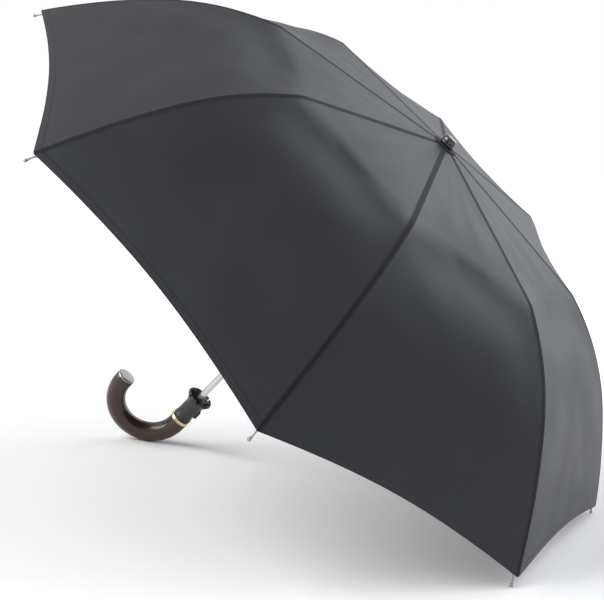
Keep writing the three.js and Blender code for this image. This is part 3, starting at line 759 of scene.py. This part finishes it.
class UMBRELLA_OT_cloth(bpy.types.Operator):
    """Sew the cloth cover, three pieces along each rib"""
    bl_idname = "umbrella.cloth"
    bl_label = "Cloth cover"

    def execute(self, context):
        bands = (("crown", 0, 1, "inner"), ("shoulder", 1, 2, "outer"), ("hem", 2, 3, "tip"))
        for band, first, last, segment in bands:
            for rib in range(1, RIB_COUNT + 1):
                self.make(band, first, last, segment, rib)
        return {"FINISHED"}

    def make(self, band, first, last, segment, rib):
        azimuth = rib_azimuth(rib)
        piece = cloth_piece(f"cloth_{band}_{rib}", first, last)
        piece.matrix_world = Matrix.Rotation(-rib_azimuth(HOME_RIB), 4, "Z")
        place(piece, azimuth)
        width, length, area = sheet_facts(piece)
        settle(piece, f"rib_{rib}_{segment}", "cloth", "fabric", f"canopy_panel_{rib}")
        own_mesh(piece)


class UMBRELLA_OT_ribs(bpy.types.Operator):
    """Make the eight sets of ribs, stretchers and link wires"""
    bl_idname = "umbrella.ribs"
    bl_label = "Ribs and stretchers"

    WIRE_BELOW = 0.0052                 # under the inner rib's hinge line
    WIRE_FROM_PIN, WIRE_FROM_ELBOW = 0.006, 0.010
    EYE_RADIUS = 0.0018

    def execute(self, context):
        size = part_sizes()
        undo = Matrix.Rotation(-rib_azimuth(1), 4, "Z")
        for kind, segment, edge in (
                ("inner_rib", "inner", size.edge), ("stretcher", "stretcher", size.edge),
                ("outer_rib", "outer", size.edge * 1.5)):
            pattern = refined(f"{kind}_1", f"{kind}_bar", edge)
            pattern.data.transform(undo)
            on_each_rib(pattern, f"{kind}_bar", segment, "rib_steel", "rib_steel", kind)
        on_each_rib(self.link_wire(size.link_radius), "link_wire", "inner", "steel", "chrome")
        return {"FINISHED"}

    def link_wire(self, radius):
        """The thin rod under the inner rib, from beside the stretcher's rivet to the elbow, eyes at both ends."""
        along = (ELBOW - STRETCHER_PIN).normalized()
        below = Vector((along.y, -along.x)) * self.WIRE_BELOW
        start = STRETCHER_PIN + along * self.WIRE_FROM_PIN + below
        end = ELBOW - along * self.WIRE_FROM_ELBOW + below
        tilt = math.atan2(along.y, along.x)
        piece = ring_start("link_wire", radius, 0, 12)
        extrude_ring((end - start).length)
        leave_edit()
        apply_modifier(piece, "SOLIDIFY", thickness=radius * 0.9, offset=-1)
        smooth(piece)
        piece.matrix_world = Matrix.Translation((start.x, 0, start.y)) @ Matrix.Rotation(
            math.pi / 2 - tilt, 4, "Y")
        only(piece)
        apply_place()
        eyes = [piece]
        for centre in (start, end):
            deselect()
            bpy.ops.mesh.primitive_torus_add(
                location=(centre.x, 0, centre.y), rotation=(math.pi / 2, 0, 0),
                major_radius=self.EYE_RADIUS, minor_radius=radius, major_segments=20, minor_segments=10)
            apply_place()
            eyes.append(bpy.context.active_object)
        return joined(eyes)


class UMBRELLA_OT_tips(bpy.types.Operator):
    """Make the eight tip rods, with their ferrules and balls"""
    bl_idname = "umbrella.tips"
    bl_label = "Tip rods"

    def execute(self, context):
        on_each_rib(self.rod(part_sizes()), "tip_wire", "tip", "tip_steel", "chrome", "tip_rod")
        return {"FINISHED"}

    def rod(self, size):
        bend = TIP_BEND - CLOTH_ABOVE_RIB
        turn = (TIP_LENGTH + size.overhang) / TIP_BEND
        # A ring across the rod at the knee, spun about the centre of the rib's bend.
        piece = ring_start("tip_wire", size.rod_radius, 0, 16)
        leave_edit()
        piece.matrix_world = Matrix.Translation((KNEE.x, 0, KNEE.y)) @ Matrix.Rotation(
            KNEE_SLOPE + math.pi / 2, 4, "Y")
        only(piece)
        apply_place()
        edit_all()
        bpy.ops.mesh.edge_face_add()
        bpy.ops.mesh.select_all(action="SELECT")
        bpy.ops.mesh.spin(steps=28, angle=turn, center=(TIP_CENTRE.x, 0, TIP_CENTRE.y), axis=(0, -1, 0))
        weld(WELD)
        end = TIP_CENTRE + rib_normal(KNEE_SLOPE + turn) * bend
        parts = [piece, self.ball(end, size.ball_radius)]
        # A ferrule where the rod meets the outer rib, a sewn-in eye at the corner, a collar behind the ball.
        for from_end, length, radius in (
                (TIP_LENGTH + size.overhang - 0.006, 0.012, size.rod_radius * 1.45),
                (size.overhang + 0.002, 0.005, size.rod_radius * 1.5),
                (size.ball_radius + 0.0008, 0.002, size.rod_radius * 1.3)):
            slope = KNEE_SLOPE + turn - from_end / bend
            middle = TIP_CENTRE + rib_normal(slope) * bend
            direction = (math.cos(slope), 0, -math.sin(slope))
            sleeve = axis_cylinder("sleeve", radius, length, (middle.x, 0, middle.y), direction, 20)
            apply_modifier(sleeve, "BEVEL", width=0.0003, segments=2, limit_method="ANGLE")
            parts.append(sleeve)
        made = joined(parts)
        smooth(made, 40)
        return made

    def ball(self, end, radius):
        deselect()
        bpy.ops.mesh.primitive_uv_sphere_add(
            segments=24, ring_count=16, radius=radius, location=(end.x, 0, end.y))
        apply_place()
        return bpy.context.active_object


class UMBRELLA_OT_tubes(bpy.types.Operator):
    """Make the two telescoping tubes"""
    bl_idname = "umbrella.tubes"
    bl_label = "Shaft tubes"

    LOWER_WALL, UPPER_WALL = 0.00055, 0.0006

    def execute(self, context):
        high = local_box("lower_tube")[1]
        collar_top = local_box("handle_collar")[1].z
        radius = high.y
        wall = self.LOWER_WALL
        lower = turned("lower_tube_plated", closed_profile(
            (radius - wall, collar_top - 0.003), (radius, collar_top - 0.003), (radius, high.z - 0.0090),
            (radius - 0.00025, high.z - 0.0085), (radius - 0.00025, high.z - 0.0075), (radius, high.z - 0.0070),
            (radius, high.z - 0.0003), (radius - 0.0003, high.z), (radius - wall, high.z)), 64)
        smooth(lower, 40)
        settle(place(lower), "handle", "steel", "chrome", "lower_tube")
        low, high = local_box("upper_tube")
        radius = high.y
        upper = turned("upper_tube_plated", closed_profile(
            (radius - self.UPPER_WALL, low.z), (radius, low.z), (radius, high.z),
            (radius - self.UPPER_WALL, high.z)), 64)
        smooth(upper, 40)
        settle(place(upper), "crown", "steel", "chrome", "upper_tube")
        return {"FINISHED"}


class UMBRELLA_OT_crown(bpy.types.Operator):
    """Make the crown: cap, cloth rosette, rib notch and its wire"""
    bl_idname = "umbrella.crown"
    bl_label = "Crown"

    WASHER_HOLE = 0.0039
    WASHER_LIFT, WASHER_THICK = 0.0003, 0.0006
    TEETH = 72

    def execute(self, context):
        low, high = local_box("crown_cap")
        radius, bottom, top = high.y, low.z, high.z
        tall = top - bottom
        cap = turned("crown_knob", [
            (0.0042, bottom),
            *shares(
                radius, bottom, tall, (0.92, 0), (0.98, 0.03), (1, 0.08), (1, 0.24), (0.97, 0.28), (0.92, 0.30),
                (0.92, 0.38), (0.97, 0.42), (0.97, 0.52)),
            *arc_profile((radius * 0.42, bottom + tall * 0.58), (radius * 0.53, tall * 0.42), 0, 90, 12),
            (0, top)], 96)
        smooth(cap, 50)
        settle(place(cap), "crown", "cap_plastic", "black_plastic", "crown_cap")
        low, high = local_box("crown_rosette")
        self.rosette(high.y, low.z)
        piece = refined("top_notch", "top_notch_moulded", 0.0003)
        settle(place(piece), "crown", "plastic", "black_plastic", "top_notch")
        deselect()
        bpy.ops.mesh.primitive_torus_add(
            location=(0, 0, -HINGE_DROP), major_radius=HINGE.x, minor_radius=0.0007,
            major_segments=72, minor_segments=12)
        wire = bpy.context.active_object
        wire.name = "rib_wire"
        apply_place()
        smooth(wire, 60)
        settle(place(wire), "crown", "steel", "chrome", "notch_wire")
        return {"FINISHED"}

    def rosette(self, radius, low):
        """A pinked cloth washer, dished like the cloth under it."""
        fall = math.tan(INNER_SLOPE)
        steps = [(radius - self.WASHER_HOLE) * step / 4 for step in range(5)]
        outline = [(self.WASHER_HOLE + out, self.WASHER_LIFT) for out in steps]
        outline += [(radius - back, self.WASHER_LIFT + self.WASHER_THICK) for back in steps]
        rings = [(reach, -reach * fall + height) for reach, height in outline]
        piece = turned("crown_washer", closed_profile(*rings), self.TEETH)
        for vertex in piece.data.vertices:
            reach = math.hypot(vertex.co.x, vertex.co.y)
            if reach > radius * 0.97:
                tooth = round(math.atan2(vertex.co.y, vertex.co.x) / (2 * math.pi) * self.TEETH) % 2
                vertex.co.x *= 1 - 0.05 * tooth
                vertex.co.y *= 1 - 0.05 * tooth
        smooth(piece, 40)
        layer = piece.data.uv_layers.new(name="UVMap")
        for loop in piece.data.loops:
            spot = piece.data.vertices[loop.vertex_index].co
            layer.data[loop.index].uv = (spot.x + 0.05, spot.y + 0.05)
        far = piece.data.attributes.new("hem_distance", "FLOAT", "POINT")
        far.data.foreach_set("value", np.full(len(piece.data.vertices), 0.05, np.float32))
        settle(place(piece), "crown", "cloth", "fabric", "crown_rosette")


class UMBRELLA_OT_runner(bpy.types.Operator):
    """Make the runner that the stretchers push"""
    bl_idname = "umbrella.runner"
    bl_label = "Runner"

    def execute(self, context):
        piece = refined("runner", "runner_moulded", 0.0003)
        settle(place(piece), "runner", "plastic", "black_plastic", "runner")
        return {"FINISHED"}


class UMBRELLA_OT_crook(bpy.types.Operator):
    """Bend the wooden crook and close its end with the light cap"""
    bl_idname = "umbrella.crook"
    bl_label = "Crook"

    STRAIGHT = 0.006
    ROUND_OVER = 0.0006

    def execute(self, context):
        low, high = local_box("crook_end_cap")
        collar_low = local_box("handle_collar")[0].z
        top = collar_low - GAP
        end = (low + high) / 2
        reach = math.hypot(end.x, end.y)
        swing = math.atan2(end.y, end.x)
        cap_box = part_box("crook_end_cap")
        radius = (cap_box[1].y - cap_box[0].y) / 2
        bend = reach / 2
        bend_start = top - self.STRAIGHT
        end_low = low.z
        piece = ring_start("crook", radius * 0.965, top, 72)
        bpy.ops.mesh.edge_face_add()
        steps = ((radius * 0.985, self.ROUND_OVER), (radius, 0.0015), (radius, self.STRAIGHT - 0.0021))
        current, height = radius * 0.965, top
        for next_radius, drop in steps:
            height -= drop
            extrude_ring(-drop, next_radius / current, (0, 0, height))
            current = next_radius
        # Half a turn towards local +X; the piece is turned to its side when it is placed.
        bpy.ops.mesh.spin(steps=72, angle=math.pi, center=(bend, 0, bend_start), axis=(0, 1, 0))
        rise = end_low - GAP - bend_start
        extrude_ring(rise - self.ROUND_OVER)
        extrude_ring(self.ROUND_OVER, 0.975, (2 * bend, 0, end_low - GAP))
        weld(WELD)
        lowest = min(vertex.co.z for vertex in piece.data.vertices)
        if lowest > bend_start - bend:
            raise RuntimeError("the crook bent upwards")
        self.unwrap(piece, bend, bend_start, top, radius)
        smooth(piece, 40)
        settle(place(piece, swing), "handle", "wood", "wood", "crook_handle")
        tall = high.z - end_low
        cap = turned("crook_cap", shares(
            radius, end_low, tall, (0, 0), (0.96, 0), (0.985, 0.10), (0.985, 0.45), (0.955, 0.75), (0.89, 0.94),
            (0.80, 0.985), (0.40, 1), (0, 1)), 72)
        cap.data.transform(Matrix.Translation((reach, 0, 0)))
        smooth(cap, 40)
        settle(place(cap, swing), "handle", "end_cap", "end_cap", "crook_end_cap")
        return {"FINISHED"}

    def unwrap(self, piece, bend, bend_start, top, radius):
        """Gives the wood a UV map that runs round the stick and along its bend, in metres."""
        mesh = piece.data
        layer = mesh.uv_layers.new(name="UVMap")
        for face in mesh.polygons:
            corners = [self.along(mesh.vertices[index].co, bend, bend_start, top) for index in face.vertices]
            rounds = [corner[0] for corner in corners]
            wide = max(rounds) - min(rounds) > math.pi
            for loop, (turn, length) in zip(face.loop_indices, corners):
                turn += 2 * math.pi if wide and turn < 0 else 0
                layer.data[loop].uv = (turn * radius, length)

    def along(self, spot, bend, bend_start, top):
        if spot.z >= bend_start and spot.x < bend:
            return math.atan2(spot.y, spot.x), top - spot.z
        straight = top - bend_start
        if spot.z >= bend_start:
            return math.atan2(spot.y, 2 * bend - spot.x), straight + math.pi * bend + spot.z - bend_start
        angle = math.atan2(bend_start - spot.z, bend - spot.x)
        out = math.hypot(spot.x - bend, spot.z - bend_start) - bend
        return math.atan2(spot.y, -out), straight + angle * bend


class UMBRELLA_OT_collar(bpy.types.Operator):
    """Turn the gold-coloured ring between the wood and the housing"""
    bl_idname = "umbrella.collar"
    bl_label = "Gold ring"

    def execute(self, context):
        low, high = local_box("handle_collar")
        radius, bottom, top = high.y, low.z, high.z
        tall = top - bottom
        outline = [(BORE, bottom), *shares(radius, bottom, tall, (0.93, 0), (0.98, 0.08))]
        # Three beads with a neck between each two.
        for (out, up), (reach, half), turn, steps, neck in (
                ((0.96, 0.22), (0.04, 0.10), 60, 5, (0.965, 0.35)),
                ((0.955, 0.52), (0.035, 0.14), 70, 6, (0.965, 0.69)),
                ((0.96, 0.81), (0.04, 0.09), 60, 5, None)):
            centre = (radius * out, bottom + tall * up)
            outline += arc_profile(centre, (radius * reach, tall * half), -turn, turn, steps)
            outline += shares(radius, bottom, tall, neck) if neck else []
        outline += [(radius * 0.98, top - tall * 0.05), (radius * 0.93, top), (BORE, top)]
        ring = turned("gold_ring", closed_profile(*outline), 96)
        smooth(ring, 50)
        settle(place(ring), "handle", "brass", "brass", "handle_collar")
        return {"FINISHED"}


class UMBRELLA_OT_housing(bpy.types.Operator):
    """Mould the button housing with its lobed cup, and the push button"""
    bl_idname = "umbrella.housing"
    bl_label = "Housing and button"

    CUP_DEPTH = 0.012
    POCKET_FLOOR, POCKET_WIDTH, POCKET_ROOM = 0.0062, 0.0092, 0.0008

    def execute(self, context):
        low, high = local_box("button_housing")
        button_low, button_high = local_box("push_button")
        middle = (button_low + button_high) / 2
        swing = math.atan2(middle.y, middle.x)
        bottom, top, wide = low.z, high.z, high.y
        cup = top - self.CUP_DEPTH
        outline = [
            (BORE, bottom), (0.0121, bottom), (0.0126, bottom + 0.0005), (0.0126, bottom + 0.0025),
            (0.0121, bottom + 0.0032), (0.0121, bottom + 0.0040), (0.0118, bottom + 0.0046),
            (0.0116, bottom + 0.008), (0.0116, cup - 0.0040), (0.0120, cup - 0.0015),
            (0.0134, cup + 0.0020), (0.0155, cup + 0.0055), (wide - 0.0007, cup + 0.0082),
            (wide, cup + 0.0095), (wide - 0.0001, top - 0.0012), (wide - 0.0005, top - 0.0004), (wide - 0.0012, top),
            (wide - 0.0020, top), (wide - 0.0027, top - 0.0004), (wide - 0.0032, top - 0.0014),
            (0.0132, top - 0.0045), (0.0105, cup + 0.0010), (0.0092, cup),
            (BORE, cup)]
        body = turned("housing", closed_profile(*outline), 128)
        cutters = [self.pocket(middle, swing, button_low, button_high)]
        for rib in range(1, RIB_COUNT + 1):
            cutters += self.lobe_gap(rib_azimuth(rib), wide, top)
        for cutter in cutters:
            apply_modifier(body, "BOOLEAN", operation="DIFFERENCE", solver="EXACT", object=cutter)
            bpy.data.objects.remove(cutter)
        smooth(body, 34)
        settle(place(body), "handle", "plastic", "black_plastic", "button_housing")
        button = refined("push_button", "button", 0.0007, 4)
        settle(place(button), "button", "plastic", "black_plastic", "push_button")
        return {"FINISHED"}

    def pocket(self, middle, swing, low, high):
        deselect()
        tall = high.z - low.z + self.POCKET_ROOM
        bpy.ops.mesh.primitive_cube_add(size=1, location=(0, 0, 0))
        cutter = bpy.context.active_object
        cutter.scale = (0.02, self.POCKET_WIDTH, tall)
        cutter.location = (self.POCKET_FLOOR + 0.01, 0, middle.z)
        apply_place()
        apply_modifier(cutter, "BEVEL", width=0.0016, segments=4, limit_method="ANGLE")
        cutter.data.transform(Matrix.Rotation(swing, 4, "Z"))
        return cutter

    def lobe_gap(self, azimuth, wide, top):
        """A rounded gap in the cup's rim and a flute down its outside, between two lobes."""
        floor = top - 0.0040
        gap = axis_cylinder("lobe_gap", 0.0014, 0.014, (wide, 0, floor), (1, 0, 0), 32)
        for vertex in gap.data.vertices:
            if vertex.co.z > floor:
                vertex.co.z += 0.006
        flute = axis_cylinder("lobe_flute", 0.0022, 0.016, (wide + 0.0012, 0, top - 0.0060), (0, 0, 1), 32)
        for cutter in (gap, flute):
            cutter.data.transform(Matrix.Rotation(azimuth, 4, "Z"))
        return [gap, flute]


class UMBRELLA_OT_stage(bpy.types.Operator):
    """Lay the pale floor under a white world, hang the soft lights and set the camera"""
    bl_idname = "umbrella.stage"
    bl_label = "Stage"

    LIGHT_FROM_WORLD = 0.62
    CAMERA_PLACE = (0.658, -1.488, 0.457)
    CAMERA_TURN = (81.90, -7.69, 25.72)
    LENS = 78.3

    def execute(self, context):
        self.floor()
        self.lights()
        self.camera()
        return {"FINISHED"}

    def floor(self):
        deselect()
        bpy.ops.mesh.primitive_grid_add(x_subdivisions=8, y_subdivisions=8, size=40, location=(0, 0, 0))
        floor = bpy.context.active_object
        floor.name = "studio_floor"
        floor.data.materials.append(finish("floor"))

    def lights(self):
        world = bpy.data.worlds.new("studio_air")
        world.use_nodes = True
        nodes = world.node_tree.nodes
        background = nodes["Background"]
        background.inputs["Color"].default_value = (1, 1, 1, 1)
        # Pure white behind the umbrella, softer as a light on it.
        seen = nodes.new("ShaderNodeLightPath")
        strength = nodes.new("ShaderNodeMapRange")
        strength.inputs["To Min"].default_value = self.LIGHT_FROM_WORLD
        strength.inputs["To Max"].default_value = 1.0
        world.node_tree.links.new(seen.outputs["Is Camera Ray"], strength.inputs["Value"])
        world.node_tree.links.new(strength.outputs["Result"], background.inputs["Strength"])
        bpy.context.scene.world = world
        self.sun("key_light", (0.36, 0.74, 0.52), 1.2, 60, (0.93, 0.96, 1.0))
        self.sun("fill_light", (-0.55, -0.55, 0.62), 2.9, 50, (1.0, 1.0, 0.99))
        view = bpy.context.scene.view_settings
        view.view_transform = "Standard"
        view.look = "None"

    def sun(self, name, source, power, spread, colour):
        """A soft light that comes evenly from one side."""
        light = bpy.data.lights.new(name, "SUN")
        light.energy = power
        light.angle = math.radians(spread)
        light.color = colour
        made = bpy.data.objects.new(name, light)
        made.location = Vector(source) * 3
        made.rotation_euler = (-Vector(source)).to_track_quat("-Z", "Y").to_euler()
        bpy.context.collection.objects.link(made)

    def camera(self):
        lens = bpy.data.cameras.new("camera")
        lens.lens = self.LENS
        lens.sensor_width = 36
        camera = bpy.data.objects.new("camera", lens)
        bpy.context.collection.objects.link(camera)
        camera.location = self.CAMERA_PLACE
        camera.rotation_euler = [math.radians(angle) for angle in self.CAMERA_TURN]
        bpy.context.scene.camera = camera


STEPS = ("stage", "cloth", "ribs", "tips", "tubes", "crown", "runner", "crook", "collar", "housing")


class VIEW3D_PT_umbrella(bpy.types.Panel):
    bl_idname = "VIEW3D_PT_umbrella"
    bl_label = "Umbrella"
    bl_space_type = "VIEW_3D"
    bl_region_type = "UI"
    bl_category = "Umbrella"

    def draw(self, context):
        layout = self.layout
        for step in STEPS:
            layout.operator(f"umbrella.{step}")
        for group in (context.scene.umbrella_cloth, context.scene.umbrella_parts, context.scene.umbrella_colours):
            box = layout.box()
            for key in group.__annotations__:
                box.prop(group, key)


CLASSES = (
    UmbrellaClothSizes, UmbrellaPartSizes, UmbrellaColours, UMBRELLA_OT_stage, UMBRELLA_OT_cloth,
    UMBRELLA_OT_ribs, UMBRELLA_OT_tips, UMBRELLA_OT_tubes, UMBRELLA_OT_crown, UMBRELLA_OT_runner,
    UMBRELLA_OT_crook, UMBRELLA_OT_collar, UMBRELLA_OT_housing, VIEW3D_PT_umbrella,
)


def register():
    for made in CLASSES:
        bpy.utils.register_class(made)
    bpy.types.Scene.umbrella_cloth = bpy.props.PointerProperty(type=UmbrellaClothSizes)
    bpy.types.Scene.umbrella_parts = bpy.props.PointerProperty(type=UmbrellaPartSizes)
    bpy.types.Scene.umbrella_colours = bpy.props.PointerProperty(type=UmbrellaColours)


def unregister():
    del bpy.types.Scene.umbrella_colours
    del bpy.types.Scene.umbrella_parts
    del bpy.types.Scene.umbrella_cloth
    for made in reversed(CLASSES):
        bpy.utils.unregister_class(made)


def main():
    register()
    for step in STEPS:
        getattr(bpy.ops.umbrella, step)()
    deselect()


if __name__ == "__main__":
    main()
